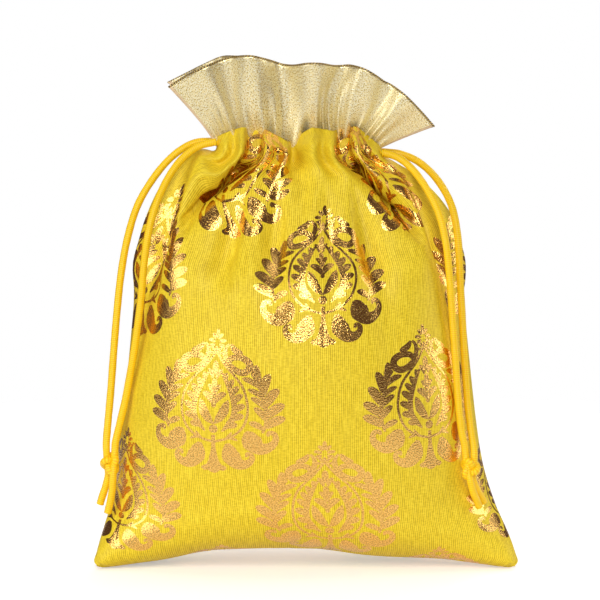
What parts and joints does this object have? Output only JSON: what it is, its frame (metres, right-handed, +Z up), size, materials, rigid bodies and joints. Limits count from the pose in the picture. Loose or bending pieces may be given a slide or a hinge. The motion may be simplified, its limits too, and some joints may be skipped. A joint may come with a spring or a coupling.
{
  "type": "potli bag",
  "caption": "Filled drawstring pouch of foil-printed yellow cloth with a gathered neck, a gold frill and satin cords knotted at each side.",
  "frame": {"origin": "on the table under the middle of the bag, cords left out", "axes": "+Z up, the printed front faces -Y, +X to the right seen from the front"},
  "size_m": [0.172, 0.089, 0.206],
  "materials": {
    "printed_cloth": "satin weave art silk with foil print",
    "gold_lame": "metallic lame weave",
    "satin_cord": "satin covered cord"
  },
  "bodies": {
    "root": {"front_panel": "printed_cloth", "back_panel": "printed_cloth", "front_frill": "gold_lame", "back_frill": "gold_lame", "left_cord_run": "satin_cord", "right_cord_run": "satin_cord", "left_strand_front": "satin_cord", "left_strand_back": "satin_cord", "right_strand_front": "satin_cord", "right_strand_back": "satin_cord", "left_knot": "satin_cord", "right_knot": "satin_cord", "left_tail_front": "satin_cord", "left_tail_back": "satin_cord", "right_tail_front": "satin_cord", "right_tail_back": "satin_cord"}
  },
  "joints": []
}
